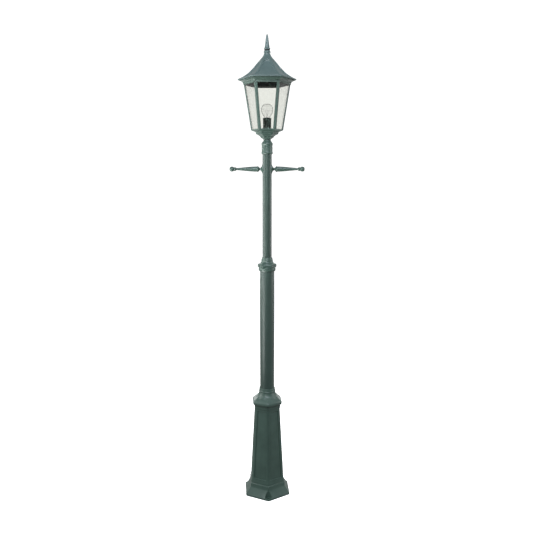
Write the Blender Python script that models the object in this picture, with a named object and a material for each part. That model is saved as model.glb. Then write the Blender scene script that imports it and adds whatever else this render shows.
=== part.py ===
"""Post lantern: hexagonal cast pedestal, stepped tube column, ladder bar and a glazed hexagonal lantern."""

import math

import bmesh
import bpy
from mathutils import Matrix, Vector

MM = 0.001

# ---- driving dimensions, in millimetres -------------------------------------
TOTAL_HEIGHT = 2400.0
GAP = 0.3

BASE_TURN = 3.4            # degrees the pedestal stands turned from the lantern
FLANGE_R = 135.5           # pedestal flange, corner radius
FLANGE_EDGE = 8.5
SHAFT_BOTTOM_Z, SHAFT_BOTTOM_R = 88.0, 100.0
SHAFT_TOP_Z, SHAFT_TOP_R = 472.0, 76.3
CORNER_CUT = 0.075         # share of a hexagon side taken off each corner
PANEL_MARGIN, PANEL_DEPTH = 11.0, 2.5
PEDESTAL_TOP = 585.0
ANCHOR_R, ANCHOR_HOLE_R, ANCHOR_POCKET_R = 119.0, 6.5, 17.0

LOWER_TUBE_R, LOWER_TUBE_WALL = 38.05, 3.0
LOWER_TUBE_FROM, LOWER_TUBE_TO = 470.3, 1234.7
UPPER_TUBE_R, UPPER_TUBE_WALL = 24.15, 2.6
UPPER_TUBE_FROM, UPPER_TUBE_TO = 1150.3, 1866.0
SCREW_R, SCREW_HOLE_R = 3.0, 3.3
BASE_SCREW_Z, COUPLING_SCREW_Z, COLLAR_SCREW_Z = 573.5, 1247.0, 1847.0

LADDER_Z, LADDER_HALF = 1742.0, 192.0
LADDER_STUD_R, LADDER_STUD_HALF = 3.0, 60.0

CAGE_TOP_Z, CAGE_TOP_R = 2155.7, 116.4     # mullion corner radius at the top
CAGE_BOTTOM_Z, CAGE_BOTTOM_R = 1939.3, 81.9
MULLION_LEG, MULLION_THICK = 11.0, 3.5
GLASS_SET_BACK, GLASS_THICK = 4.0, 4.0
GLASS_BOTTOM, GLASS_TOP = 1934.8, 2160.0

EAVE_R, EAVE_Z = 149.0, 2180.0
STUD_TOP = 2346.0
HEX = 6


def clear_scene():
    for collection in (bpy.data.objects, bpy.data.meshes, bpy.data.materials):
        for item in list(collection):
            collection.remove(item)


def material(name, colour, roughness, metallic=0.0, transmission=0.0):
    made = bpy.data.materials.new(name)
    made.use_nodes = True
    shader = made.node_tree.nodes["Principled BSDF"]
    shader.inputs["Base Color"].default_value = (*colour, 1.0)
    shader.inputs["Roughness"].default_value = roughness
    shader.inputs["Metallic"].default_value = metallic
    shader.inputs["Transmission Weight"].default_value = transmission
    made.diffuse_color = (*colour, 1.0)
    return made


PAINT = (0.060, 0.092, 0.082)
ROOF_PAINT = (0.105, 0.150, 0.150)
STEEL = (0.55, 0.55, 0.56)
BRASS = (0.60, 0.43, 0.16)


def place(name, bm, finish, origin=(0.0, 0.0, 0.0)):
    """Turns a bmesh in metres into a named object whose origin is at the given point in millimetres."""
    point = Vector(origin) * MM
    bmesh.ops.remove_doubles(bm, verts=bm.verts, dist=1e-6)
    bmesh.ops.recalc_face_normals(bm, faces=bm.faces)
    bmesh.ops.translate(bm, verts=bm.verts, vec=-point)
    mesh = bpy.data.meshes.new(name)
    bm.to_mesh(mesh)
    bm.free()
    smooth(mesh)
    thing = bpy.data.objects.new(name, mesh)
    thing.location = point
    bpy.context.scene.collection.objects.link(thing)
    mesh.materials.append(material(name + "_finish", *finish))
    return thing


def smooth(mesh):
    mesh.shade_smooth()
    mesh.set_sharp_from_angle(angle=math.radians(28))


def cut(thing, cutter_bm):
    """Takes a cutter away from an object with an exact Boolean and removes the cutter."""
    bmesh.ops.recalc_face_normals(cutter_bm, faces=cutter_bm.faces)
    mesh = bpy.data.meshes.new("cutter")
    cutter_bm.to_mesh(mesh)
    cutter_bm.free()
    cutter = bpy.data.objects.new("cutter", mesh)
    cutter.hide_render = True
    cutter.display_type = "WIRE"
    bpy.context.scene.collection.objects.link(cutter)
    modifier = thing.modifiers.new("cut", "BOOLEAN")
    modifier.operation = "DIFFERENCE"
    modifier.solver = "EXACT"
    modifier.object = cutter
    bpy.context.view_layer.update()
    graph = bpy.context.evaluated_depsgraph_get()
    result = bpy.data.meshes.new_from_object(thing.evaluated_get(graph))
    old = thing.data
    thing.modifiers.clear()
    thing.data = result
    smooth(result)
    bpy.data.meshes.remove(old)
    bpy.data.objects.remove(cutter)
    bpy.data.meshes.remove(mesh)


def round_section(count):
    return [(math.cos(2 * math.pi * k / count), math.sin(2 * math.pi * k / count)) for k in range(count)]


def hexagon_section(turn=0.0):
    return [
        (math.cos(math.radians(60 * k + turn)), math.sin(math.radians(60 * k + turn)))
        for k in range(HEX)
    ]


def cut_corner_section(turn, share):
    """A hexagon with its six corners cut off, as twelve points."""
    corners = [Vector(p) for p in hexagon_section(turn)]
    points = []
    for k, corner in enumerate(corners):
        before, after = corners[k - 1], corners[(k + 1) % HEX]
        points.append(tuple(corner.lerp(before, share)))
        points.append(tuple(corner.lerp(after, share)))
    return points


def blended_section(count, roundness, turn=0.0):
    """Between a hexagon (0) and a circle through its corners (1), sampled at count points."""
    points = []
    for k in range(count):
        angle = 2 * math.pi * k / count
        within = math.fmod(angle, math.pi / 3) - math.pi / 6
        flat = math.cos(math.pi / 6) / math.cos(within)
        radius = flat + (1.0 - flat) * roundness
        bearing = angle + math.radians(turn)
        points.append((radius * math.cos(bearing), radius * math.sin(bearing)))
    return points


def join_double(bm, low, high, k):
    """One strip between a ring and a ring of twice as many points, whichever is the fuller."""
    few, many = (low, high) if len(low) < len(high) else (high, low)
    if k >= len(few):
        return
    n, j = (k + 1) % len(few), 2 * k
    end = (j + 2) % len(many)
    bm.faces.new((few[k], many[j + 1], many[j]))
    bm.faces.new((few[k], few[n], many[j + 1]))
    bm.faces.new((few[n], many[end], many[j + 1]))


def loft(levels, closed=True):
    """Closed body through levels (radius, z, section). A radius of 0 is a pole. closed joins last to first."""
    bm = bmesh.new()
    rings = []
    for radius, z, section in levels:
        if radius == 0:
            rings.append([bm.verts.new((0, 0, z * MM))])
        else:
            rings.append([bm.verts.new((radius * x * MM, radius * y * MM, z * MM)) for x, y in section])
    pairs = list(zip(rings, rings[1:]))
    if closed:
        pairs.append((rings[-1], rings[0]))
    for low, high in pairs:
        count = max(len(low), len(high))
        for k in range(count):
            n = (k + 1) % count
            if len(low) == 1:
                bm.faces.new((low[0], high[k], high[n]))
            elif len(high) == 1:
                bm.faces.new((low[k], low[n], high[0]))
            elif len(low) != len(high):
                join_double(bm, low, high, k)
            else:
                bm.faces.new((low[k], low[n], high[n], high[k]))
    return bm


def turned(profile, count=32):
    """Body turned about Z from (radius, z) points; it closes through the axis if it starts and ends there."""
    section = round_section(count)
    on_axis = profile[0][0] == 0 and profile[-1][0] == 0
    return loft([(r, z, section) for r, z in profile], closed=not on_axis)


def hexed(profile, turn=0.0):
    section = hexagon_section(turn)
    on_axis = profile[0][0] == 0 and profile[-1][0] == 0
    return loft([(r, z, section) for r, z in profile], closed=not on_axis)


def tube(outer, inner, low, high, count=32):
    return turned([(outer, low), (outer, high), (inner, high), (inner, low)], count)


def rod(radius, low, high, count=16):
    return turned([(0, low), (radius, low), (radius, high), (0, high)], count)


def drill(radius, low, high, count=12):
    """A rod to cut with, turned a little so that none of its edges lies in a plane of the body it cuts."""
    return moved(rod(radius, low, high, count), Matrix.Rotation(math.radians(7.3), 4, "Z"))


def box(low, high):
    bm = bmesh.new()
    bmesh.ops.create_cube(bm, size=1.0)
    a, b = Vector(low) * MM, Vector(high) * MM
    for v in bm.verts:
        v.co = Vector([a[i] + (v.co[i] + 0.5) * (b[i] - a[i]) for i in range(3)])
    return bm


def moved(bm, matrix):
    bmesh.ops.transform(bm, matrix=matrix, verts=bm.verts)
    return bm


def lay_along(bm, bearing, z):
    """Lays a body made along +Z down, so that it points outwards at a bearing in degrees and a height."""
    turn = Matrix.Rotation(math.radians(bearing), 4, "Z") @ Matrix.Rotation(math.radians(90), 4, "Y")
    return moved(bm, Matrix.Translation((0, 0, z * MM)) @ turn)


# ---- post ---------------------------------------------------------------------


def pedestal():
    turn = -90 + BASE_TURN
    hexagon = cut_corner_section(turn, CORNER_CUT)
    sharp = cut_corner_section(turn, 0.02)
    bearings = [math.radians(turn - 15 + 15 * k) for k in range(24)]
    ring = [(math.cos(a), math.sin(a)) for a in bearings]
    outside = [
        (FLANGE_R, 0, sharp), (FLANGE_R, FLANGE_EDGE, sharp), (107, 45, sharp), (106, 64, sharp),
        (104.5, 66.5, sharp), (104, 76, hexagon), (101.5, 80, hexagon),
        (SHAFT_BOTTOM_R, SHAFT_BOTTOM_Z, hexagon), (SHAFT_TOP_R, SHAFT_TOP_Z, hexagon),
        (78.6, 481, hexagon), (79.6, 492, hexagon), (83.4, 500, hexagon), (88, 505.5, hexagon),
        (88.6, 512, hexagon), (86, 519.5, hexagon), (80, 525, hexagon), (72, 530.5, hexagon),
        (58, 537.5, ring), (50, 546, ring), (46, 554, ring), (43, 562, ring), (43, 568, ring),
        (42, 573, ring), (42, 584, ring), (41, PEDESTAL_TOP, ring),
    ]
    bore = LOWER_TUBE_R + 0.9
    inside = [
        (bore, PEDESTAL_TOP, ring), (bore, 470, ring), (33, 470, ring), (33, 461, ring),
        (70, 450, hexagon), (92, 92, hexagon), (98, 60, hexagon), (98, 0, hexagon),
    ]
    bm = loft(outside + inside)
    bm.faces.ensure_lookup_table()
    low, high = (SHAFT_BOTTOM_Z + 2) * MM, (SHAFT_TOP_Z - 2) * MM
    panels = [
        f for f in bm.faces
        if f.calc_area() > 0.015
        and min(v.co.z for v in f.verts) < low < high < max(v.co.z for v in f.verts)
        and min(math.hypot(v.co.x, v.co.y) for v in f.verts) > (SHAFT_TOP_R - 4) * MM
    ]
    bmesh.ops.inset_individual(bm, faces=panels, thickness=PANEL_MARGIN * MM, depth=-PANEL_DEPTH * MM)
    thing = place("base_pedestal", bm, (PAINT, 0.45, 0.2))
    for k in range(3):
        bearing = math.radians(turn + 120 * k)
        at = Matrix.Translation((ANCHOR_R * MM * math.cos(bearing), ANCHOR_R * MM * math.sin(bearing), 0))
        cut(thing, moved(drill(ANCHOR_POCKET_R, 8, 70, 20), at))
        cut(thing, moved(drill(ANCHOR_HOLE_R, -5, 20, 16), at))
    for k in range(3):
        cut(thing, lay_along(drill(SCREW_HOLE_R, 30, 60), 90 + 120 * k, BASE_SCREW_Z))
    return thing


def set_screws(name, inner, outer, z):
    for k in range(3):
        bearing = 90 + 120 * k
        bm = lay_along(rod(SCREW_R, inner, outer, 12), bearing, z)
        place(f"{name}_{k + 1}", bm, (STEEL, 0.35, 1.0))


def lower_column():
    inner = LOWER_TUBE_R - LOWER_TUBE_WALL
    bm = tube(LOWER_TUBE_R, inner, LOWER_TUBE_FROM, LOWER_TUBE_TO)
    place("lower_column", bm, (PAINT, 0.42, 0.2))


def column_coupling():
    flat, round_ = blended_section(24, 0.0), blended_section(24, 1.0)
    slot = LOWER_TUBE_R + 0.5
    levels = [
        (41.0, 1219, round_), (43.4, 1223, round_), (44.4, 1228, round_), (44.4, 1235, round_),
        (49.1, 1240, flat), (49.1, 1252, flat), (46.5, 1255.5, flat), (40, 1258.5, round_),
        (34.4, 1263, round_), (30.8, 1269, round_), (29.5, 1275, round_), (28.7, 1281, round_),
        (27.1, 1286, round_), (26.2, 1288, round_), (24.45, 1288, round_), (24.45, 1150, round_),
        (20, 1150, round_), (20, 1140, round_), (34.6, 1140, round_), (34.6, 1235.2, round_),
        (slot, 1235.2, round_), (slot, 1219, round_),
    ]
    thing = place("column_coupling", loft(levels), (PAINT, 0.42, 0.2))
    for k in range(3):
        cut(thing, lay_along(drill(SCREW_HOLE_R, 10, 60), 90 + 120 * k, COUPLING_SCREW_Z))


def upper_column():
    bm = tube(UPPER_TUBE_R, UPPER_TUBE_R - UPPER_TUBE_WALL, UPPER_TUBE_FROM, UPPER_TUBE_TO)
    thing = place("upper_column", bm, (PAINT, 0.42, 0.2))
    cut(thing, lay_along(drill(LADDER_STUD_R + 0.4, -60, 60), 0, LADDER_Z))


# ---- ladder bar -----------------------------------------------------------------


def ladder_bar():
    boss = [
        (0, 6), (23, 6), (24, 18), (23.6, 24.6), (18, 26.4), (12.5, 28.6), (8.6, 31),
        (6.2, 33.4), (5.6, 35.4), (0, 35.4),
    ]
    arm = [
        (0, 63), (3.4, 63), (3.4, 35.8), (5.2, 35.8), (8, 38), (12.6, 43), (14.8, 46.5), (14.8, 49.5),
        (12.9, 51.5), (12.6, 62), (11.2, 85), (8.8, 115), (6.5, 142), (5.4, 155), (6.6, 158),
        (9.6, 161), (9.8, 164), (8.2, 167.4), (10.4, 171), (12.3, 176), (12.5, 180.5), (11.2, 186),
        (8, 190), (4, 191.6), (0, LADDER_HALF),
    ]
    for side, bearing in (("left", 180), ("right", 0)):
        sign = -1 if side == "left" else 1
        bm = lay_along(turned(boss, 24), bearing, 0)
        moved(bm, Matrix.Diagonal((1, 0.72, 1, 1)))
        moved(bm, Matrix.Translation((0, 0, LADDER_Z * MM)))
        origin = (sign * 35.4, 0, LADDER_Z)
        thing = place(f"ladder_boss_{side}", bm, (PAINT, 0.42, 0.2), origin)
        cut(thing, moved(drill(UPPER_TUBE_R + GAP, -60, 60, 48), Matrix.Translation((0, 0, LADDER_Z * MM))))
        cut(thing, lay_along(drill(LADDER_STUD_R + 0.4, -60, 60), 0, LADDER_Z))
        bm = lay_along(turned(arm, 20), bearing, LADDER_Z)
        place(f"ladder_arm_{side}", bm, (PAINT, 0.42, 0.2), (sign * 60.0, 0, LADDER_Z))
    bm = lay_along(rod(LADDER_STUD_R, -LADDER_STUD_HALF, LADDER_STUD_HALF, 12), 0, LADDER_Z)
    place("ladder_stud", bm, (STEEL, 0.35, 1.0))


# ---- lantern foot -----------------------------------------------------------------


def lantern_collar():
    profile = [
        (26, 1817), (29, 1819), (29.6, 1822), (29.6, 1827.5), (28.2, 1830.5), (28.2, 1862), (29.5, 1865),
        (29.5, 1869), (28.4, 1872.5), (25.1, 1877), (21.8, 1882), (18.9, 1886), (18.7, 1887), (5.4, 1887),
        (5.4, 1866.6), (24.45, 1866.6), (24.45, 1817),
    ]
    thing = place("lantern_collar", turned(profile), (PAINT, 0.42, 0.2), (0, 0, 1866.6))
    for k in range(3):
        cut(thing, lay_along(drill(SCREW_HOLE_R, 15, 40), 90 + 120 * k, COLLAR_SCREW_Z))


def stem():
    place("stem_nipple", tube(5.0, 3.2, 1852, 1948, 16), (STEEL, 0.35, 1.0))
    for name, low, high in (("nipple_nut_lower", 1858, 1866.3), ("nipple_nut_upper", 1893.9, 1901)):
        bm = loft([
            (8.5, low, blended_section(12, 0)), (8.5, high, blended_section(12, 0)),
            (5.3, high, round_section(12)), (5.3, low, round_section(12)),
        ])
        place(name, bm, (STEEL, 0.35, 1.0))


def lantern_dish():
    profile = [
        (6.4, 1887.3), (18.7, 1887.3), (21.3, 1892), (29.6, 1897), (34.2, 1902), (38.4, 1907), (46.3, 1912),
        (55, 1915.5), (57.4, 1919), (58.4, 1924), (61.5, 1927.8), (69, 1929.8), (70.5, 1931),
        (63, 1931), (56, 1929), (53, 1923), (50.5, 1918.5), (43, 1915.5), (34, 1910.5), (29, 1905),
        (24.5, 1900), (17.5, 1895), (15, 1893.6), (6.4, 1893.6),
    ]
    place("lantern_dish", hexed(profile), (PAINT, 0.42, 0.2))


def cage_rings():
    bottom = [
        (78.6, 1939), (82, 1939), (81.4, 1936), (77.8, 1933.2), (74, 1931.3),
        (58, 1931.3), (58, 1934.4), (78.6, 1934.4),
    ]
    place("cage_bottom_ring", hexed(bottom), (PAINT, 0.42, 0.2))
    top = [
        (114, 2156), (118.5, 2156), (119.3, 2162.5), (121.5, 2166), (125.6, 2170.5), (132.5, 2174.5),
        (138, 2176), (138, EAVE_Z - GAP), (100, EAVE_Z - GAP), (100, 2160.5), (114, 2160.5),
    ]
    place("cage_top_ring", hexed(top), (PAINT, 0.42, 0.2))


def cage_radius(z):
    share = (z - CAGE_BOTTOM_Z) / (CAGE_TOP_Z - CAGE_BOTTOM_Z)
    return CAGE_BOTTOM_R + share * (CAGE_TOP_R - CAGE_BOTTOM_R)


def mullions():
    for k in range(HEX):
        bearing = math.radians(60 * k)
        corner = Vector((math.cos(bearing), math.sin(bearing)))
        left = Vector((math.cos(bearing + math.radians(120)), math.sin(bearing + math.radians(120))))
        right = Vector((math.cos(bearing - math.radians(120)), math.sin(bearing - math.radians(120))))
        out_left = Vector((math.cos(bearing + math.radians(30)), math.sin(bearing + math.radians(30))))
        out_right = Vector((math.cos(bearing - math.radians(30)), math.sin(bearing - math.radians(30))))
        bm = bmesh.new()
        loops = []
        for z in (CAGE_BOTTOM_Z, CAGE_TOP_Z):
            tip = corner * cage_radius(z)
            back = corner * (cage_radius(z) - MULLION_THICK / math.cos(math.pi / 6))
            points = [
                tip, tip + left * MULLION_LEG, tip + left * MULLION_LEG - out_left * MULLION_THICK,
                back, tip + right * MULLION_LEG - out_right * MULLION_THICK, tip + right * MULLION_LEG,
            ]
            loops.append([bm.verts.new((p.x * MM, p.y * MM, z * MM)) for p in points])
        low, high = loops
        for j in range(6):
            n = (j + 1) % 6
            bm.faces.new((low[j], low[n], high[n], high[j]))
        for ring, order in ((low, ((0, 3, 2, 1), (0, 5, 4, 3))), (high, ((0, 1, 2, 3), (0, 3, 4, 5)))):
            for face in order:
                bm.faces.new([ring[j] for j in face])
        place(f"mullion_{k + 1}", bm, (PAINT, 0.42, 0.2))


def glass_panes():
    """Each pane leans with the cage, behind the legs of its two mullions."""
    margin = 3.0
    for k in range(HEX):
        bearing = math.radians(60 * k - 90)
        out = Vector((math.cos(bearing), math.sin(bearing)))
        along = Vector((-out.y, out.x))
        bm = bmesh.new()
        loops = []
        for z in (GLASS_BOTTOM, GLASS_TOP):
            face = cage_radius(z) * math.cos(math.pi / 6) - GLASS_SET_BACK
            half = (face - GLASS_THICK) * math.tan(math.pi / 6) - margin
            points = [
                out * face - along * half, out * face + along * half,
                out * (face - GLASS_THICK) + along * half, out * (face - GLASS_THICK) - along * half,
            ]
            loops.append([bm.verts.new((p.x * MM, p.y * MM, z * MM)) for p in points])
        low, high = loops
        for j in range(4):
            n = (j + 1) % 4
            bm.faces.new((low[j], low[n], high[n], high[j]))
        bm.faces.new(low)
        bm.faces.new(high)
        place(f"glass_pane_{k + 1}", bm, ((0.80, 0.88, 0.84), 0.05, 0.0, 1.0))


# ---- roof ---------------------------------------------------------------------


def bridge_and_stud():
    thing = place("roof_bridge", box((-118, -10, 2180), (118, 10, 2183)), (STEEL, 0.5, 1.0))
    cut(thing, drill(4.4, 2170, 2190, 16))
    for x in (-106, 106):
        cut(thing, moved(drill(2.4, 2170, 2190), Matrix.Translation((x * MM, 0, 0))))
        cut(
            bpy.data.objects["cage_top_ring"],
            moved(drill(2.4, 2166, 2200), Matrix.Translation((x * MM, 0, 0))),
        )
    for k, x in enumerate((-106, 106)):
        bm = turned([(0, 2168), (2.0, 2168), (2.0, 2183.3), (4.2, 2183.3), (4.2, 2185.6), (0, 2185.6)], 12)
        moved(bm, Matrix.Translation((x * MM, 0, 0)))
        place(f"bridge_screw_{k + 1}", bm, (STEEL, 0.35, 1.0))
    place("tie_stud", rod(4.0, 2170, STUD_TOP, 16), (STEEL, 0.35, 1.0))
    bm = loft([
        (7.5, 2172.5, blended_section(12, 0)), (7.5, 2179.7, blended_section(12, 0)),
        (4.3, 2179.7, round_section(12)), (4.3, 2172.5, round_section(12)),
    ])
    place("tie_nut", bm, (STEEL, 0.35, 1.0))


def roof_shell():
    outer = [
        (EAVE_R, EAVE_Z, 0), (EAVE_R, 2184.5, 0), (144.5, 2186.5, 0), (134, 2190.5, 0), (125, 2195, 0),
        (116.7, 2200, 0), (109.4, 2205, 0), (102.2, 2209.5, 0), (96, 2214, 0), (90.5, 2219, 0),
        (80, 2229, 0), (71, 2238, 0), (62.7, 2248, 0), (54.5, 2257, 0), (45.5, 2267, 0.1), (37, 2276, 0.4),
        (31, 2281.5, 0.7), (26.6, 2286, 0.9), (22.8, 2291, 1), (19.9, 2296, 1), (17.6, 2301, 1),
        (15.6, 2305.5, 1), (15.6, 2308, 1), (17.1, 2310.5, 1), (17.1, 2318, 1), (15.5, 2320.5, 1),
    ]
    inner = [
        (4.5, 2320.5, 1), (4.5, 2303, 1), (11, 2303, 1), (13, 2296, 1), (20, 2286, 0.9), (31, 2274, 0.4),
        (49, 2257, 0), (66, 2238, 0), (84, 2219, 0), (102, 2203.5, 0), (117, 2193, 0), (127, 2187, 0),
        (127, EAVE_Z, 0),
    ]
    bm = loft([(r, z, blended_section(24 if z > 3000 else 12, w)) for r, z, w in outer + inner])
    place("roof_shell", bm, (ROOF_PAINT, 0.38, 0.2), (0, 0, EAVE_Z))


def finial():
    bm = tube(13.9, 4.5, 2320.8, 2326.2, 24)
    place("finial_washer", bm, ((0.02, 0.02, 0.02), 0.8), (0, 0, 2320.8))
    profile = [
        (0, 2349), (4.5, 2349), (4.5, 2326.5), (15.4, 2326.5), (16.3, 2328), (16.3, 2332), (14.8, 2334),
        (12.6, 2338), (10.8, 2347), (9.3, 2361), (7.4, 2376), (4.8, 2390), (2.4, 2397.5), (0, TOTAL_HEIGHT),
    ]
    place("finial", turned(profile, 24), (ROOF_PAINT, 0.38, 0.2), (0, 0, 2326.5))


# ---- lamp ---------------------------------------------------------------------


def lampholder():
    strap = place("holder_strap", box((-66, -8, 1934.7), (66, 8, 1936.7)), (STEEL, 0.5, 1.0))
    cut(strap, drill(5.4, 1920, 1950, 16))
    for x in (-62, 62):
        cut(strap, moved(drill(2.0, 1920, 1950), Matrix.Translation((x * MM, 0, 0))))
        cut(
            bpy.data.objects["cage_bottom_ring"],
            moved(drill(2.0, 1920, 1950), Matrix.Translation((x * MM, 0, 0))),
        )
    for k, x in enumerate((-62, 62)):
        bm = turned([(0, 1931.8), (1.6, 1931.8), (1.6, 1937), (3.2, 1937), (3.2, 1939), (0, 1939)], 12)
        moved(bm, Matrix.Translation((x * MM, 0, 0)))
        place(f"strap_screw_{k + 1}", bm, (STEEL, 0.35, 1.0))
    body = [
        (0, 1949), (5.4, 1949), (5.4, 1937), (22.5, 1937), (22.5, 1942), (20.6, 1948), (20.6, 1990),
        (21.4, 1992), (21.4, 1996), (15.6, 1996), (15.6, 1956.5), (0, 1956.5),
    ]
    place("lampholder_body", turned(body), ((0.035, 0.04, 0.04), 0.4))
    shell = [(13.5, 1962), (15.2, 1962), (15.2, 1991), (13.5, 1991)]
    place("lampholder_shell", turned(shell, 24), (BRASS, 0.3, 1.0))
    contact = [(0, 1956.8), (6, 1956.8), (6, 1958), (3, 1960), (0, 1960)]
    place("lampholder_contact", turned(contact, 16), (BRASS, 0.3, 1.0))
    place("terminal_block", box((14, -7, 1921), (38, 7, 1934.4)), ((0.75, 0.74, 0.70), 0.6))


def bulb():
    tip = [(0, 1960.3), (3.4, 1960.3), (4.8, 1961.6), (4.8, 1966), (0, 1966)]
    place("bulb_contact", turned(tip, 16), (STEEL, 0.3, 1.0), (0, 0, 1960.3))
    cap = [
        (5.1, 1963), (8.8, 1964.5), (13.05, 1968), (13.05, 1988), (12.7, 1990.5),
        (12.1, 1990.5), (12.1, 1969.5), (8.2, 1966.5), (5.1, 1965.2),
    ]
    place("bulb_cap", turned(cap, 24), ((0.78, 0.76, 0.70), 0.25, 1.0), (0, 0, 1963))
    outside = [
        (11.0, 1984), (11.8, 1986), (12.0, 1991), (13.2, 1997), (16.5, 2003), (21.5, 2010), (26, 2018),
        (28.8, 2026), (29.5, 2035), (28.6, 2044), (25.5, 2052.5), (20, 2059), (11.5, 2063.5), (0, 2065),
    ]
    inside = [
        (0, 2064), (11, 2062.5), (19.2, 2058.2), (24.6, 2052), (27.6, 2043.8), (28.5, 2035), (27.8, 2026.3),
        (25.1, 2018.5), (20.7, 2010.7), (15.7, 2003.7), (12.3, 1997.5), (11.1, 1991.2), (10.2, 1984),
    ]
    section = round_section(24)
    bm = loft([(r, z, section) for r, z in outside], closed=False)
    inner_bm = loft([(r, z, section) for r, z in inside], closed=False)
    shape = bpy.data.meshes.new("inside")
    inner_bm.to_mesh(shape)
    inner_bm.free()
    bm.from_mesh(shape)
    bpy.data.meshes.remove(shape)
    edges = [e for e in bm.edges if e.is_boundary]
    bmesh.ops.bridge_loops(bm, edges=edges)
    place("bulb_envelope", bm, ((0.92, 0.95, 0.93), 0.02, 0.0, 1.0))
    mount = [(0, 1986), (9.6, 1986), (9.0, 1988), (5.2, 1994), (3.4, 2003), (2.6, 2012), (3.4, 2015), (0, 2016.5)]
    place("bulb_mount", turned(mount, 16), ((0.85, 0.9, 0.88), 0.05, 0.0, 1.0))
    wire = [
        (-2.2, 0, 2017), (-9, 0, 2030), (-11, 0, 2033), (-6, 3.5, 2035.5), (0, 4.5, 2033.5),
        (6, 3.5, 2035.5), (11, 0, 2033), (9, 0, 2030), (2.2, 0, 2017),
    ]
    place("bulb_filament", swept(wire, 0.45), ((0.35, 0.33, 0.30), 0.4, 1.0))


def swept(path, radius, count=6):
    """A thin rod along a path of points, with flat ends."""
    points = [Vector(p) for p in path]
    bm = bmesh.new()
    rings = []
    side = Vector((0, 1, 0))
    for k, point in enumerate(points):
        ahead = points[min(k + 1, len(points) - 1)] - points[max(k - 1, 0)]
        ahead.normalize()
        across = ahead.cross(side)
        across.normalize()
        other = ahead.cross(across)
        ring = []
        for j in range(count):
            angle = 2 * math.pi * j / count
            at = point + (across * math.cos(angle) + other * math.sin(angle)) * radius
            ring.append(bm.verts.new(at * MM))
        rings.append(ring)
    for low, high in zip(rings, rings[1:]):
        for j in range(count):
            n = (j + 1) % count
            bm.faces.new((low[j], low[n], high[n], high[j]))
    bm.faces.new(rings[0])
    bm.faces.new(rings[-1])
    return bm


def build():
    clear_scene()
    pedestal()
    set_screws("base_set_screw", LOWER_TUBE_R + GAP, 42.0, BASE_SCREW_Z)
    lower_column()
    column_coupling()
    set_screws("coupling_set_screw", UPPER_TUBE_R + GAP, 41.5, COUPLING_SCREW_Z)
    upper_column()
    ladder_bar()
    lantern_collar()
    set_screws("collar_set_screw", UPPER_TUBE_R + GAP, 28.0, COLLAR_SCREW_Z)
    stem()
    lantern_dish()
    cage_rings()
    mullions()
    glass_panes()
    bridge_and_stud()
    roof_shell()
    finial()
    lampholder()
    bulb()


build()
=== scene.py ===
import math

import bmesh
import bpy
from mathutils import Matrix, Vector


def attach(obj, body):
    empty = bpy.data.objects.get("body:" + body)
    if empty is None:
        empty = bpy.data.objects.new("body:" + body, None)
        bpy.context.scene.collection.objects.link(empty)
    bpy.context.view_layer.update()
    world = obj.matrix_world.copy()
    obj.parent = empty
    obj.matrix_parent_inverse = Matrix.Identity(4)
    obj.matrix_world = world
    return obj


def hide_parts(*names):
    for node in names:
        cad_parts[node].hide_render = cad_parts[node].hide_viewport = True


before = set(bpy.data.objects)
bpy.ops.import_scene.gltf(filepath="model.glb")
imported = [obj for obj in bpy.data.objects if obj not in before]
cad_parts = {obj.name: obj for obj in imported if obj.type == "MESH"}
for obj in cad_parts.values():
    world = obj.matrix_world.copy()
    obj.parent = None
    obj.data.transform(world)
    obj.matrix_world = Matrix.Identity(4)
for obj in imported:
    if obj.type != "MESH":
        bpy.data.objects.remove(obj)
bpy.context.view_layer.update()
mm = 0.001
print("frame loaded")

# ---- shared helpers


def toLinear(hexColour):
    parts = [int(hexColour[k:k + 2], 16) / 255 for k in (1, 3, 5)]
    return tuple(c / 12.92 if c <= 0.04045 else ((c + 0.055) / 1.055) ** 2.4 for c in parts) + (1.0,)


def addNode(tree, kind, settings=None, links=None):
    node = tree.nodes.new(kind)
    for key, value in (settings or {}).items():
        if isinstance(key, int) or key in node.inputs:
            node.inputs[key].default_value = value
        else:
            setattr(node, key, value)
    for key, source in (links or {}).items():
        tree.links.new(source, node.inputs[key])
    return node


def newFinish(name, base, roughness, metallic=0.0, **sockets):
    made = bpy.data.materials.new(name)
    made.use_nodes = True
    shader = made.node_tree.nodes["Principled BSDF"]
    shader.inputs["Base Color"].default_value = toLinear(base)
    shader.inputs["Roughness"].default_value = roughness
    shader.inputs["Metallic"].default_value = metallic
    for key, value in sockets.items():
        shader.inputs[key.replace("_", " ")].default_value = value
    return made, made.node_tree, shader


def faceOut(bm):
    bmesh.ops.recalc_face_normals(bm, faces=bm.faces)
    if bm.calc_volume(signed=True) < 0:
        bmesh.ops.reverse_faces(bm, faces=bm.faces)


def keepPiece(name, bm, body, finish, replaced=(), edge=0.0, sharp=30, segments=2, closed=True):
    # welds, turns faces outwards, and hands the finished mesh to its body
    if closed:
        bmesh.ops.remove_doubles(bm, verts=bm.verts, dist=1e-6)
        faceOut(bm)
    mesh = bpy.data.meshes.new(name)
    bm.to_mesh(mesh)
    bm.free()
    mesh.shade_smooth()
    mesh.set_sharp_from_angle(angle=math.radians(sharp))
    mesh.materials.append(finish)
    piece = bpy.data.objects.new(name, mesh)
    bpy.context.scene.collection.objects.link(piece)
    if edge:
        soft = piece.modifiers.new("softEdge", "BEVEL")
        soft.width = edge * mm
        soft.segments = segments
        soft.limit_method = "ANGLE"
        soft.angle_limit = math.radians(sharp)
        soft.harden_normals = False
    if body:
        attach(piece, body)
    if replaced:
        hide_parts(*replaced)
    return piece


def paintInsideShade(piece, reach, low):
    # gives the darker inside coat, painted shade, to the faces that look in at the lamp
    piece.data.materials.append(insideShadePaint)
    for face in piece.data.polygons:
        spot = face.center
        looksIn = face.normal.xy.dot(spot.xy) < -1e-6 or face.normal.z < -0.9
        if looksIn and spot.xy.length < reach * mm and spot.z > low * mm:
            face.material_index = 1


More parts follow.
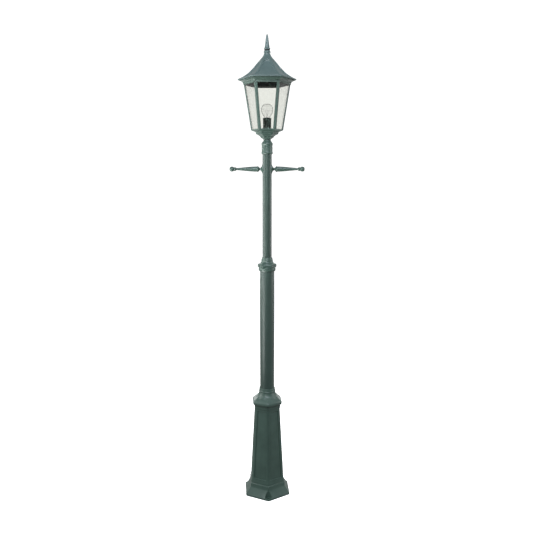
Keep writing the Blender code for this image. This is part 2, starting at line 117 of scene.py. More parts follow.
def carve(piece, cutterBm):
    # takes a cutter out of a finished mesh and leaves no modifier behind
    faceOut(cutterBm)
    cutterMesh = bpy.data.meshes.new("cutter")
    cutterBm.to_mesh(cutterMesh)
    cutterBm.free()
    cutter = bpy.data.objects.new("cutter", cutterMesh)
    bpy.context.scene.collection.objects.link(cutter)
    kept = [(m.name, m.type, m.width, m.segments, m.angle_limit) for m in piece.modifiers]
    piece.modifiers.clear()
    cut = piece.modifiers.new("cut", "BOOLEAN")
    cut.operation, cut.solver, cut.object = "DIFFERENCE", "EXACT", cutter
    graph = bpy.context.evaluated_depsgraph_get()
    carved = bpy.data.meshes.new_from_object(piece.evaluated_get(graph))
    old = piece.data
    piece.modifiers.clear()
    piece.data = carved
    carved.name = piece.name
    bpy.data.meshes.remove(old)
    bpy.data.objects.remove(cutter)
    bpy.data.meshes.remove(cutterMesh)
    for name, kind, width, segments, angle in kept:
        soft = piece.modifiers.new(name, kind)
        soft.width, soft.segments, soft.limit_method, soft.angle_limit = width, segments, "ANGLE", angle


def turnedBody(profile, steps=96):
    # (radius, z) points in millimetres, spun once round the axis; a profile off the axis closes on itself
    bm = bmesh.new()
    verts = [bm.verts.new((r * mm, 0, z * mm)) for r, z in profile]
    edges = [bm.edges.new(pair) for pair in zip(verts, verts[1:])]
    if profile[0][0] > 0:
        edges.append(bm.edges.new((verts[-1], verts[0])))
    bmesh.ops.spin(bm, geom=verts + edges, cent=(0, 0, 0), axis=(0, 0, 1), dvec=(0, 0, 0),
                   angle=2 * math.pi, steps=steps, use_merge=True, use_duplicate=False)
    bmesh.ops.remove_doubles(bm, verts=bm.verts, dist=1e-6)
    return bm


def hexagonStack(rings, turn=0.0, sides=6, closed=True):
    # a hexagon drawn up and down through (corner radius, z) rings; closed joins the last ring to the first
    bm = bmesh.new()
    radius, z = rings[0]
    bmesh.ops.create_circle(bm, cap_ends=False, segments=sides, radius=radius * mm)
    spot = Matrix.Translation((0, 0, z * mm)) @ Matrix.Rotation(math.radians(turn - 90), 4, "Z")
    bmesh.ops.transform(bm, matrix=spot, verts=bm.verts)
    firstEdges = list(bm.edges)
    edges = firstEdges
    for nextRadius, nextZ in rings[1:]:
        made = bmesh.ops.extrude_edge_only(bm, edges=edges)["geom"]
        fresh = [g for g in made if isinstance(g, bmesh.types.BMVert)]
        edges = [g for g in made if isinstance(g, bmesh.types.BMEdge) and g.is_boundary
                 and all(v in fresh for v in g.verts)]
        ratio = nextRadius / radius
        bmesh.ops.scale(bm, vec=(ratio, ratio, 1), verts=fresh)
        bmesh.ops.translate(bm, vec=(0, 0, (nextZ - z) * mm), verts=fresh)
        radius, z = nextRadius, nextZ
    if closed:
        bmesh.ops.bridge_loops(bm, edges=firstEdges + edges)
    return bm


def rodBody(radius, low, high, steps=24):
    bm = bmesh.new()
    bmesh.ops.create_cone(bm, cap_ends=True, segments=steps, radius1=radius * mm, radius2=radius * mm,
                          depth=(high - low) * mm)
    bmesh.ops.translate(bm, vec=(0, 0, (high + low) / 2 * mm), verts=bm.verts)
    return bm


def blockBody(low, high):
    bm = bmesh.new()
    bmesh.ops.create_cube(bm, size=mm)
    size = [b - a for a, b in zip(low, high)]
    bmesh.ops.scale(bm, vec=size, verts=bm.verts)
    bmesh.ops.translate(bm, vec=[(a + b) / 2 * mm for a, b in zip(low, high)], verts=bm.verts)
    return bm


def moved(bm, matrix):
    bmesh.ops.transform(bm, matrix=matrix, verts=bm.verts)
    return bm


def pointed(bm, bearing, z):
    # lays a body made along +Z so that it points outwards at a bearing and a height
    turn = Matrix.Rotation(math.radians(bearing), 4, "Z") @ Matrix.Rotation(math.radians(90), 4, "Y")
    return moved(bm, Matrix.Translation((0, 0, z * mm)) @ turn)


def addTo(bm, other):
    # puts another body's faces into this one
    shape = bpy.data.meshes.new("joined")
    other.to_mesh(shape)
    other.free()
    bm.from_mesh(shape)
    bpy.data.meshes.remove(shape)
    return bm


def threadRidge(radius, depth, pitch, low, turns, steps=20):
    # a V ridge wound up a rod, with its two ends closed; depth below 0 cuts inwards for a nut or a socket
    bm = bmesh.new()
    outline = [(radius, -0.42 * pitch), (radius + depth, 0.0), (radius, 0.42 * pitch)]
    verts = [bm.verts.new((r * mm, 0, (low + z) * mm)) for r, z in outline]
    face = bm.faces.new(verts)
    count = int(turns * steps)
    bmesh.ops.spin(bm, geom=[face] + verts + list(face.edges), cent=(0, 0, 0), axis=(0, 0, 1),
                   dvec=(0, 0, pitch * mm / steps), angle=2 * math.pi * turns, steps=count, use_duplicate=False)
    return bm


# ---- finishes


def paintedMetal(name, base, light, grain, depth, roughness, mottle=9.0):
    # satin powder coat: soft sheen, fine orange peel, and a slow drift of tone where the coat is thicker
    made, tree, shader = newFinish(name, base, roughness, IOR=1.48, Specular_IOR_Level=0.5)
    at = addNode(tree, "ShaderNodeTexCoord").outputs["Object"]
    drift = addNode(tree, "ShaderNodeTexNoise", {"Scale": mottle, "Detail": 5.0, "Roughness": 0.6}, {"Vector": at})
    shade = addNode(tree, "ShaderNodeValToRGB", {}, {"Fac": drift.outputs["Fac"]})
    shade.color_ramp.elements[0].position, shade.color_ramp.elements[0].color = 0.32, toLinear(base)
    shade.color_ramp.elements[1].position, shade.color_ramp.elements[1].color = 0.72, toLinear(light)
    peel = addNode(tree, "ShaderNodeTexNoise", {"Scale": grain, "Detail": 3.0, "Roughness": 0.55}, {"Vector": at})
    sheen = addNode(tree, "ShaderNodeMapRange", {"From Min": 0.3, "From Max": 0.7, "To Min": roughness - 0.05,
                                                 "To Max": roughness + 0.07}, {"Value": peel.outputs["Fac"]})
    bump = addNode(tree, "ShaderNodeBump", {"Strength": 0.5, "Distance": depth * mm}, {"Height": peel.outputs["Fac"]})
    tree.links.new(shade.outputs["Color"], shader.inputs["Base Color"])
    tree.links.new(sheen.outputs["Result"], shader.inputs["Roughness"])
    tree.links.new(bump.outputs["Normal"], shader.inputs["Normal"])
    return made


def bareMetal(name, base, light, roughness, scratch, stretch=(1, 1, 1)):
    # plated or rolled metal: bright, with faint drawn lines and small changes of gloss
    made, tree, shader = newFinish(name, base, roughness, 1.0)
    at = addNode(tree, "ShaderNodeTexCoord").outputs["Object"]
    drawn = addNode(tree, "ShaderNodeMapping", {"Scale": stretch}, {"Vector": at})
    lines = addNode(tree, "ShaderNodeTexNoise", {"Scale": scratch, "Detail": 4.0}, {"Vector": drawn.outputs["Vector"]})
    shade = addNode(tree, "ShaderNodeValToRGB", {}, {"Fac": lines.outputs["Fac"]})
    shade.color_ramp.elements[0].position, shade.color_ramp.elements[0].color = 0.3, toLinear(base)
    shade.color_ramp.elements[1].position, shade.color_ramp.elements[1].color = 0.7, toLinear(light)
    gloss = addNode(tree, "ShaderNodeMapRange", {"From Min": 0.3, "From Max": 0.7, "To Min": roughness - 0.08,
                                                 "To Max": roughness + 0.1}, {"Value": lines.outputs["Fac"]})
    tree.links.new(shade.outputs["Color"], shader.inputs["Base Color"])
    tree.links.new(gloss.outputs["Result"], shader.inputs["Roughness"])
    return made


def mouldedPlastic(name, base, light, roughness, grain):
    # moulded resin: even colour with a fine matt grain
    made, tree, shader = newFinish(name, base, roughness, IOR=1.5)
    at = addNode(tree, "ShaderNodeTexCoord").outputs["Object"]
    fine = addNode(tree, "ShaderNodeTexNoise", {"Scale": grain, "Detail": 3.0}, {"Vector": at})
    shade = addNode(tree, "ShaderNodeValToRGB", {}, {"Fac": fine.outputs["Fac"]})
    shade.color_ramp.elements[0].position, shade.color_ramp.elements[0].color = 0.35, toLinear(base)
    shade.color_ramp.elements[1].position, shade.color_ramp.elements[1].color = 0.7, toLinear(light)
    bump = addNode(tree, "ShaderNodeBump", {"Strength": 0.4, "Distance": 0.05 * mm}, {"Height": fine.outputs["Fac"]})
    tree.links.new(shade.outputs["Color"], shader.inputs["Base Color"])
    tree.links.new(bump.outputs["Normal"], shader.inputs["Normal"])
    return made


def clearGlass(name, base, waviness, depth):
    # float or blown glass: clear, with a very slight wave that bends what is seen through it
    made, tree, shader = newFinish(name, base, 0.0, IOR=1.5, Transmission_Weight=1.0, Specular_IOR_Level=0.15)
    at = addNode(tree, "ShaderNodeTexCoord").outputs["Object"]
    wave = addNode(tree, "ShaderNodeTexNoise", {"Scale": waviness, "Detail": 1.0}, {"Vector": at})
    bump = addNode(tree, "ShaderNodeBump", {"Strength": 0.25, "Distance": depth * mm}, {"Height": wave.outputs["Fac"]})
    tree.links.new(bump.outputs["Normal"], shader.inputs["Normal"])
    return made


castPaint = paintedMetal("powderCoatedCasting", "#34463f", "#40544c", 520.0, 0.16, 0.41)  # 2 mm peel over sand casting
tubePaint = paintedMetal("powderCoatedTube", "#303e39", "#364640", 760.0, 0.07, 0.37, 5.0)  # finer peel on drawn tube
skyLightenedRoofPaint = paintedMetal("powderCoatedRoofPaintedSkylight", "#475856", "#536462", 520.0, 0.14, 0.36)  # same coat, painted lighter to stand for skylight on the roof and finial
insideShadePaint = paintedMetal("powderCoatedInsidePaintedShade", "#26352f", "#2d3f38", 520.0, 0.16, 0.55)  # darker coat as painted shade inside the lantern
zincSteel = bareMetal("zincPlatedSteel", "#8d9093", "#b3b6b8", 0.34, 900.0)  # passivated fasteners
brassSheet = bareMetal("drawnBrass", "#a8843c", "#c9a557", 0.28, 700.0)  # lamp contact brass
capNickel = bareMetal("nickelPlatedBrass", "#a9a59b", "#cbc8bf", 0.22, 500.0)  # bulb cap
filamentWire = bareMetal("tungstenWire", "#4a4846", "#6a6763", 0.4, 1500.0)
holderBakelite = mouldedPlastic("mouldedBakelite", "#43524b", "#4d5d55", 0.42, 900.0)
terminalNylon = mouldedPlastic("mouldedNylon", "#cfccc0", "#dcd9ce", 0.5, 600.0)
sealRubber = mouldedPlastic("mouldedRubber", "#151716", "#1e2120", 0.72, 500.0)
paneGlass = clearGlass("bevelledFloatGlass", "#f3f4f0", 14.0, 0.05)
bulbGlass = clearGlass("blownSodaGlass", "#ffffff", 30.0, 0.02)
print("finishes made")

# ---- pedestal: hexagonal casting with recessed panels, a moulded cap and three anchor notches

pedestal = {
    "turn": -86.6,
    "outside": [(135.5, 0), (135.5, 8.2), (108.5, 42), (106.2, 47), (105.8, 61), (104.6, 65), (102.8, 67.5),
                (102.8, 74), (101.6, 80), (99.8, 88), (76.3, 474), (76.7, 478), (78.6, 481), (79.2, 485),
                (79.6, 492), (80.6, 496.5), (83.4, 500), (86.8, 503), (88.6, 506.5), (88.9, 510.5), (88.2, 515),
                (86, 519.5), (82.4, 523), (77.6, 526.4), (71.6, 530.4), (65.2, 535), (59, 540.5), (38.9, 545)],
    "inside": [(38.9, 466), (33, 461), (68, 448), (92, 92), (97, 60), (98, 0)],
    "cornerRadius": 7.5,
    "panelMargin": 8.5, "panelStep": 2.4, "panelDepth": 3.4,
    "anchorRadius": 119, "holeRadius": 6.5, "pocketAt": 123, "pocketRadius": 17.5, "padHeight": 8,
    "drillTurn": 7,
}


def makePedestal():
    turn = pedestal["turn"]
    bm = hexagonStack(pedestal["outside"] + pedestal["inside"], turn)
    # round the six long corners of the shaft and cap, leaving the foot crisp
    corners = [e for e in bm.edges
               if min(v.co.z for v in e.verts) > 66 * mm and max(v.co.z for v in e.verts) < 545 * mm
               and e.calc_length() > 1e-6
               and all(math.hypot(v.co.x, v.co.y) > 70 * mm for v in e.verts)
               and abs(e.verts[0].co.z - e.verts[1].co.z) > 0.2 * mm]
    bmesh.ops.bevel(bm, geom=corners, offset=pedestal["cornerRadius"] * mm, offset_type="OFFSET", affect="EDGES",
                    segments=3, profile=0.5, material=-1, clamp_overlap=True)
    panels = [f for f in bm.faces if f.calc_area() > 0.02 and f.calc_center_median().xy.length > 70 * mm
              and max(v.co.xy.length for v in f.verts) > 93 * mm]
    panels = sorted(panels, key=lambda f: -f.calc_center_median().xy.length)[:6]
    bmesh.ops.inset_individual(bm, faces=panels, thickness=pedestal["panelMargin"] * mm, depth=0)
    bmesh.ops.inset_individual(bm, faces=panels, thickness=pedestal["panelStep"] * mm,
                               depth=-pedestal["panelDepth"] * mm)
    bmesh.ops.inset_individual(bm, faces=panels, thickness=5 * mm, depth=0)
    bmesh.ops.inset_individual(bm, faces=panels, thickness=1.2 * mm, depth=0.5 * mm)
    body = keepPiece("pedestalBody", bm, "post", castPaint, ("base_pedestal",), edge=1.1, sharp=24)
    # twisted so that no vertex of a drill falls on the casting's corner
    twist = Matrix.Rotation(math.radians(pedestal["drillTurn"]), 4, "Z")
    for k in range(3):
        outwards = Matrix.Rotation(math.radians(turn + 120 * k), 4, "Z")
        hole = outwards @ Matrix.Translation((pedestal["anchorRadius"] * mm, 0, 0)) @ twist
        pocket = outwards @ Matrix.Translation((pedestal["pocketAt"] * mm, 0, 0)) @ twist
        carve(body, moved(rodBody(pedestal["pocketRadius"], pedestal["padHeight"], 70, 40), pocket))
        carve(body, moved(rodBody(pedestal["holeRadius"], -5, 20, 32), hole))
    # the round neck that rises out of the cap and grips the column
    neck = [(60, 534), (57.6, 537.6), (54.4, 541), (51, 544.6), (48, 549), (45.8, 554), (44.4, 558.8), (43.6, 562),
            (44.6, 563.6), (44.9, 566), (44.6, 568.4), (43.3, 570), (42.6, 572.4), (42.4, 580), (42, 583.4),
            (41, 585), (38.4, 585), (38.4, 470), (50, 470), (54, 530)]
    neckPiece = keepPiece("pedestalNeck", turnedBody(neck), "post", castPaint, edge=0.5, sharp=28)
    for k in range(3):
        carve(neckPiece, pointed(rodBody(3.3, 30, 60), 90 + 120 * k + 0.01, 573.5))


makePedestal()
print("pedestal made")

# ---- fasteners that show at the surface


def makeSetScrew(name, body, bearing, inner, outer, z):
    # hexagon-socket grub screw with a chamfered end
    profile = [(0, inner), (2.2, inner), (3.0, inner + 0.9), (3.0, outer - 0.5), (2.5, outer), (0, outer)]
    screw = keepPiece(name + "Shown", pointed(turnedBody(profile, 24), bearing, z), body, zincSteel, (name,))
    carve(screw, pointed(rodBody(1.75, outer - 2.4, outer + 3, 6), bearing + 0.01, z))


for index in range(3):
    makeSetScrew(f"base_set_screw_{index + 1}", "post", 90 + 120 * index, 38.35, 41.6, 573.5)
    makeSetScrew(f"coupling_set_screw_{index + 1}", "post", 90 + 120 * index, 24.45, 41.5, 1247)
    makeSetScrew(f"collar_set_screw_{index + 1}", "lantern", 90 + 120 * index, 24.45, 27.9, 1847)
print("set screws made")

# ---- columns and the coupling between them

columns = {"lower": (38.05, 35.05, 470.3, 1234.7), "upper": (24.15, 21.55, 1150.3, 1866.0)}


def makeColumns():
    for name, (outer, inner, low, high) in columns.items():
        profile = [(outer, low + 1), (outer, high - 1), (outer - 0.8, high), (inner + 0.3, high),
                   (inner, high - 0.6), (inner, low + 0.6), (inner + 0.3, low), (outer - 0.8, low)]
        tube = keepPiece(name + "Tube", turnedBody(profile, 128), "post", tubePaint,
                         (name + "_column",))
        if name == "upper":
            carve(tube, pointed(rodBody(3.4, -60, 60), 0.01, 1742))


coupling = {
    "round": [(41.0, 1218.2), (43.0, 1219.4), (44.1, 1222.5), (44.4, 1227), (44.4, 1233.5), (43.4, 1236.6), (42, 1238),
              (42, 1254), (40.5, 1257), (36.5, 1259.8), (33.2, 1263.2), (31.2, 1267), (30.4, 1270.5), (30.9, 1272),
              (30.9, 1275.2), (30.0, 1277), (28.9, 1279.5), (28.4, 1283), (27.6, 1286.4), (26.4, 1288),
              (24.45, 1288), (24.45, 1150), (20, 1150), (20, 1140), (34.6, 1140), (34.6, 1235.1), (38.4, 1235.1),
              (38.4, 1218.2)],
    "hexagon": [(40, 1237.6), (46.4, 1237.6), (48.6, 1239), (49.1, 1241), (49.1, 1251), (48.4, 1253.2),
                (46, 1255.3), (40, 1257.4)],
}


def makeCoupling():
    body = keepPiece("couplingBody", turnedBody(coupling["round"]), "post", castPaint,
                     ("column_coupling",), edge=0.5, sharp=26)
    ring = keepPiece("couplingHexagon", hexagonStack(coupling["hexagon"]), "post", castPaint,
                     edge=0.9, sharp=22)
    for k in range(3):
        carve(body, pointed(rodBody(3.3, 10, 60), 90.01 + 120 * k, 1247))
        carve(ring, pointed(rodBody(3.3, 10, 60), 90.01 + 120 * k, 1247))


makeColumns()
makeCoupling()
print("columns made")

# ---- ladder bar: two turned arms screwed on one stud, each against a bell-shaped boss

ladder = {
    "z": 1742,
    "boss": [(0, 8), (22.6, 8), (24.0, 15), (23.9, 20), (23.0, 24.4), (20.2, 25.6), (16.2, 27), (12.8, 28.7),
             (10.2, 30.6), (8.1, 32.6), (6.6, 34.3), (5.6, 35.3), (0, 35.4)],
    "arm": [(0, 63), (3.4, 63), (3.4, 35.8), (4.6, 35.8), (6.0, 37.2), (9.6, 41), (12.4, 44), (14.2, 45.6),
            (14.9, 47.3), (14.8, 49), (13.8, 50.6), (12.9, 51.6), (13.1, 55), (13.0, 62), (12.4, 75), (11.1, 92),
            (9.3, 112), (7.5, 131), (6.1, 146), (5.5, 154), (5.9, 157), (7.8, 159.2), (9.4, 161.2), (9.9, 163.6),
            (9.4, 166), (8.2, 167.8), (8.6, 169.4), (10.6, 171.4), (12.0, 174.6), (12.6, 178.6), (12.4, 182.4),
            (11.2, 186.2), (8.8, 189.4), (5.2, 191.4), (0, 192)],
}


def makeLadderBar():
    for side, bearing in (("left", 180), ("right", 0)):
        boss = pointed(turnedBody(ladder["boss"], 64), bearing, 0)
        moved(boss, Matrix.Translation((0, 0, ladder["z"] * mm)) @ Matrix.Diagonal((1, 0.72, 1, 1)))
        piece = keepPiece(side + "BossShown", boss, "boss_" + side, castPaint,
                          ("ladder_boss_" + side,), sharp=34)
        carve(piece, moved(rodBody(24.45, -60, 60, 96), Matrix.Translation((0, 0, ladder["z"] * mm))
                           @ Matrix.Rotation(0.013, 4, "Z")))
        carve(piece, pointed(rodBody(3.4, -60, 60), 0.01, ladder["z"]))
        arm = pointed(turnedBody(ladder["arm"], 64), bearing, ladder["z"])
        keepPiece(side + "ArmShown", arm, "arm_" + side, castPaint, ("ladder_arm_" + side,), sharp=34)
    stud = rodBody(2.7, -60, 60)
    addTo(stud, threadRidge(2.6, 0.4, 1.0, 36, 23))
    addTo(stud, threadRidge(2.6, 0.4, 1.0, -59, 23))
    keepPiece("ladderStudShown", pointed(stud, 0, ladder["z"]), "post", zincSteel, ("ladder_stud",))


makeLadderBar()
print("ladder bar made")

# ---- collar and dish under the lantern

collar = [(25.4, 1817), (28.2, 1818), (29.4, 1819.8), (29.7, 1823), (29.4, 1826.6), (28.4, 1828.6), (28.0, 1830.4),
          (28.1, 1853.4), (27.2, 1854.6), (27.2, 1856.4), (28.1, 1857.6), (28.1, 1861.6), (28.9, 1863),
          (29.6, 1865), (29.7, 1867.6), (29.2, 1869.8), (28.0, 1872), (25.6, 1875.4), (22.9, 1879), (20.6, 1882.4),
          (19.2, 1885), (18.7, 1887), (5.4, 1887), (5.4, 1866.6), (24.45, 1866.6), (24.45, 1817)]
dish = [(6.4, 1887.3), (18.4, 1887.3), (19.0, 1888.6), (20.4, 1891), (22.8, 1893.4), (26.4, 1895.4), (29.9, 1897.4),
        (32.4, 1899.6), (34.3, 1902), (36.0, 1904.6), (38.6, 1907.2), (42.4, 1909.8), (46.6, 1912), (51.6, 1914),
        (54.9, 1915.6), (56.6, 1917.8), (57.4, 1920.4), (57.8, 1923.4), (59.4, 1926), (62.4, 1928), (66.4, 1929.2),
        (70.2, 1930.2), (70.5, 1931), (63, 1931), (56, 1929), (53, 1923), (50.5, 1918.5), (43, 1915.5), (34, 1910.5),
        (29, 1905), (24.5, 1900), (17.5, 1895), (15, 1893.6), (6.4, 1893.6)]


def makeLanternFoot():
    piece = keepPiece("collarShown", turnedBody(collar), "lantern", castPaint, ("lantern_collar",),
                      edge=0.4, sharp=30)
    for k in range(3):
        carve(piece, pointed(rodBody(3.3, 15, 40), 90.01 + 120 * k, 1847))
    keepPiece("dishShown", hexagonStack(dish), "lantern", castPaint, ("lantern_dish",),
              edge=0.5, sharp=20)


makeLanternFoot()
print("lantern foot made")

# ---- cage: two rings, six angle-section glazing bars and six bevelled panes

cage = {
    "bottomRing": [(78.6, 1939), (80.4, 1939.2), (82, 1938.6), (82.3, 1937.2), (81.2, 1935.6), (78.6, 1934),
                   (75.6, 1932.6), (74, 1931.3), (58, 1931.3), (58, 1934.4), (78.6, 1934.4)],
    "topRing": [(114, 2156), (117.8, 2156), (118.8, 2156.8), (119.2, 2158.6), (118.7, 2160.4), (119.0, 2161.4),
                (120.6, 2162.4), (121.2, 2164), (121.0, 2165.4), (121.6, 2167), (123.2, 2169.2), (126.2, 2171.6),
                (130.6, 2173.8), (135.2, 2175.2), (138, 2176), (138, 2179.7), (100, 2179.7), (100, 2160.5),
                (114, 2160.5)],
    "barFoot": (81.9, 1939.3), "barHead": (116.4, 2155.7), "legLength": 11.0, "legThickness": 2.4,
    "glassBack": 4.0, "glassThickness": 4.0, "glassFoot": 1934.8, "glassHead": 2160.0,
    "glassBevel": 11.0, "bevelDrop": 0.8, "sideGap": 3.0, "paintedShadeReach": 112,
}


def makeGlazingBar(index):
    # a bent angle: two flat legs either side of the corner, leaning out with the cage
    turn = math.radians(60 * index)
    foot, footZ = cage["barFoot"]
    head, headZ = cage["barHead"]
    leg, thick = cage["legLength"], cage["legThickness"]
    bm = bmesh.new()
    spots = [(foot, 0), (foot - leg / 2, leg * math.cos(math.pi / 6)),
             (foot - leg / 2 - thick * math.cos(math.pi / 6), leg * math.cos(math.pi / 6) - thick / 2),
             (foot - thick / math.cos(math.pi / 6), 0)]
    left = [bm.verts.new((x * mm, y * mm, footZ * mm)) for x, y in spots]
    bm.faces.new(left)
    bmesh.ops.mirror(bm, geom=list(bm.verts) + list(bm.edges) + list(bm.faces), axis="Y", merge_dist=1e-6)
    bmesh.ops.dissolve_edges(bm, edges=[e for e in bm.edges if len(e.link_faces) == 2])
    top = bmesh.ops.extrude_face_region(bm, geom=list(bm.faces))["geom"]
    fresh = [g for g in top if isinstance(g, bmesh.types.BMVert)]
    bmesh.ops.translate(bm, vec=((head - foot) * mm, 0, (headZ - footZ) * mm), verts=fresh)
    bmesh.ops.rotate(bm, cent=(0, 0, 0), matrix=Matrix.Rotation(turn, 3, "Z"), verts=bm.verts)
    keepPiece(f"glazingBar{index + 1}", bm, "lantern", castPaint, (f"mullion_{index + 1}",),
              edge=0.7, sharp=40)


def makePane(index):
    # trapezium of float glass with a broad polished bevel round its outer face
    foot, footZ = cage["barFoot"]
    head, headZ = cage["barHead"]
    slope = (head - foot) / (headZ - footZ)
    bm = bmesh.new()
    corners = []
    for z in (cage["glassFoot"], cage["glassHead"]):
        face = (foot + (z - footZ) * slope) * math.cos(math.pi / 6) - cage["glassBack"]
        half = (face - cage["glassThickness"]) * math.tan(math.pi / 6) - cage["sideGap"]
        corners.append((face - cage["bevelDrop"], half, z))
    (f0, h0, z0), (f1, h1, z1) = corners
    outline = [(-h0, -f0, z0), (h0, -f0, z0), (h1, -f1, z1), (-h1, -f1, z1)]
    plate = bm.faces.new([bm.verts.new([c * mm for c in spot]) for spot in outline])
    inner = bmesh.ops.extrude_face_region(bm, geom=[plate])["geom"]
    fresh = [g for g in inner if isinstance(g, bmesh.types.BMVert)]
    bmesh.ops.translate(bm, vec=(0, (cage["glassThickness"] - cage["bevelDrop"]) * mm, 0), verts=fresh)
    faceOut(bm)
    outer = min(bm.faces, key=lambda f: f.calc_center_median().y)
    bmesh.ops.inset_individual(bm, faces=[outer], thickness=cage["glassBevel"] * mm, depth=cage["bevelDrop"] * mm)
    bmesh.ops.rotate(bm, cent=(0, 0, 0), matrix=Matrix.Rotation(math.radians(60 * index), 3, "Z"), verts=bm.verts)
    keepPiece(f"bevelledPane{index + 1}", bm, "lantern", paneGlass, (f"glass_pane_{index + 1}",), sharp=3)


keepPiece("bottomRingShown", hexagonStack(cage["bottomRing"]), "lantern", castPaint,
          ("cage_bottom_ring",), edge=0.4, sharp=24)
topRing = keepPiece("topRingShown", hexagonStack(cage["topRing"]), "lantern", castPaint,
                    ("cage_top_ring",), edge=0.4, sharp=24)
# the ring's inward faces take the darker coat as painted shade
paintInsideShade(topRing, cage["paintedShadeReach"], cage["glassHead"])
for index in range(6):
    makeGlazingBar(index)
    makePane(index)
print("cage made")

# ---- roof: flared hexagon with raised hips, panels that end in an arch, and a round bell neck

roof = {
    "outer": [(148.0, 2180.0, 0), (149.0, 2180.8, 0), (149.4, 2182.4, 0), (149.0, 2184.2, 0), (147.4, 2185.4, 0),
              (145.2, 2185.6, 0), (141.8, 2187.4, 0),
              (134, 2190.5, 0), (125, 2195.2, 0), (116.7, 2200, 0), (109.4, 2204.8, 0), (102.4, 2209.4, 0),
              (96.2, 2214, 0), (90.5, 2218.8, 0), (80, 2228.6, 0), (71, 2238, 0), (62.7, 2247.4, 0), (54.6, 2257, 0),
              (49.8, 2262, 0.1), (45.2, 2267, 0.3), (40.8, 2272, 0.6), (36.6, 2276.4, 0.85), (31.4, 2281.6, 1),
              (26.8, 2286.6, 1), (23.0, 2291.4, 1), (20.0, 2296, 1), (17.8, 2300.4, 1), (16.2, 2304.6, 1),
              (15.6, 2307.6, 1), (16.4, 2309.6, 1), (17.2, 2311, 1), (17.5, 2313.4, 1), (17.2, 2316, 1),
              (16.2, 2318, 1), (15.0, 2319.6, 1), (14.4, 2320.5, 1)],
    "inner": [(4.5, 2320.5, 1), (4.5, 2303, 1), (11, 2303, 1), (13, 2296, 1), (20, 2286, 1), (31, 2274, 0.5),
              (49, 2256.6, 0), (66, 2237, 0), (84, 2218.4, 0), (102, 2203.2, 0), (117, 2193, 0), (127, 2187, 0),
              (127, 2180, 0)],
    "segments": 192, "levelStep": 1.5, "hipCap": 0.986,
    "panelDepth": 3.8, "hipWidth": 7.5, "archFoot": 2262.0, "archRise": 11.0, "panelFoot": 2191.0, "fade": 2.6,
}


def denser(levels, step):
    # adds rings between the drawn ones so that the panels' edges can be formed
    full = []
    for (r0, z0, w0), (r1, z1, w1) in zip(levels, levels[1:]):
        count = max(1, round(math.hypot(r1 - r0, z1 - z0) / step))
        full += [(r0 + (r1 - r0) * k / count, z0 + (z1 - z0) * k / count, w0 + (w1 - w0) * k / count)
                 for k in range(count)]
    return full + [levels[-1]]


def eased(value):
    value = min(1.0, max(0.0, value))
    return value * value * (3 - 2 * value)


def shapeRoof(bm, levels, panels):
    # takes each ring of a round stack in to the hexagon, and sinks the six panels
    for v in bm.verts:
        radius, angle = v.co.xy.length, math.atan2(v.co.y, v.co.x)
        z = v.co.z / mm
        within = math.fmod(angle + 2 * math.pi, math.pi / 3) - math.pi / 6
        key = min(levels, key=lambda ring: abs(ring[1] - z) + abs(ring[0] - radius / mm))
        flat = min(math.cos(math.pi / 6) / math.cos(within), roof["hipCap"])
        factor = flat + (1.0 - flat) * key[2]
        drop = 0.0
        if panels:
            apothem = radius / mm * math.cos(math.pi / 6)
            across = abs(apothem * math.tan(within))
            half = apothem * math.tan(math.pi / 6)
            fromHip = (half - across - roof["hipWidth"]) / roof["fade"]
            share = min(1.0, across / max(half - roof["hipWidth"], 1.0))
            archZ = roof["archFoot"] + roof["archRise"] * math.sqrt(max(0.0, 1 - share ** 2))
            fromTop = (archZ - z) / roof["fade"]
            fromFoot = (z - roof["panelFoot"]) / roof["fade"]
            drop = roof["panelDepth"] * eased(fromHip) * eased(fromTop) * eased(fromFoot)
        v.co.x *= factor
        v.co.y *= factor
        if drop:
            out = Vector((math.cos(angle - within), math.sin(angle - within), 0))
            v.co -= (out * 0.7 + Vector((0, 0, 0.7))) * drop * mm


def makeRoof():
    outer, inner = denser(roof["outer"], roof["levelStep"]), roof["inner"]
    bm = hexagonStack([(r, z) for r, z, w in outer], 0, roof["segments"], closed=False)
    shapeRoof(bm, outer, True)
    lining = hexagonStack([(r, z) for r, z, w in inner], 0, roof["segments"], closed=False)
    shapeRoof(lining, inner, False)
    addTo(bm, lining)
    rims = [e for e in bm.edges if e.is_boundary]
    low = [e for e in rims if e.verts[0].co.z < 2.2]
    high = [e for e in rims if e.verts[0].co.z > 2.2]
    bmesh.ops.bridge_loops(bm, edges=low)
    bmesh.ops.bridge_loops(bm, edges=high)
    # the roof shell takes the coat painted lighter for skylight
    shell = keepPiece("roofShown", bm, "roof", skyLightenedRoofPaint, ("roof_shell",), sharp=38)
    # the lining's inward faces take the darker coat as painted shade
    paintInsideShade(shell, cage["paintedShadeReach"], cage["glassHead"])


finial = [(0, 2349), (4.5, 2349), (4.5, 2326.5), (13.6, 2326.5), (15.6, 2327.4), (16.3, 2329.2), (16.3, 2331),
          (15.4, 2332.8), (13.6, 2334), (12.4, 2335.4), (12.3, 2338), (11.7, 2342), (10.9, 2347.4), (10.0, 2354),
          (9.1, 2362), (8.1, 2370), (7.1, 2377.4), (5.9, 2385), (4.7, 2391), (3.4, 2395.8), (1.9, 2398.8), (0, 2400)]


def makeFinial():
    # the finial takes the same coat painted lighter for skylight
    keepPiece("finialShown", turnedBody(finial, 64), "finial", skyLightenedRoofPaint, ("finial",), sharp=40)
    seal = [(4.5, 2320.8), (12.6, 2320.8), (13.7, 2321.8), (13.9, 2323.5), (13.7, 2325.2), (12.6, 2326.2),
            (4.5, 2326.2)]
    keepPiece("finialSealShown", turnedBody(seal, 64), "finial_seal", sealRubber, ("finial_washer",),
              sharp=50)
    stud = rodBody(3.4, 2170, 2346)
    addTo(stud, threadRidge(3.35, 0.6, 1.25, 2171, 17))
    addTo(stud, threadRidge(3.35, 0.6, 1.25, 2316, 23))
    keepPiece("tieStudShown", stud, "lantern", zincSteel, ("tie_stud",))


makeRoof()
makeFinial()
print("roof made")

# ---- hidden fixings


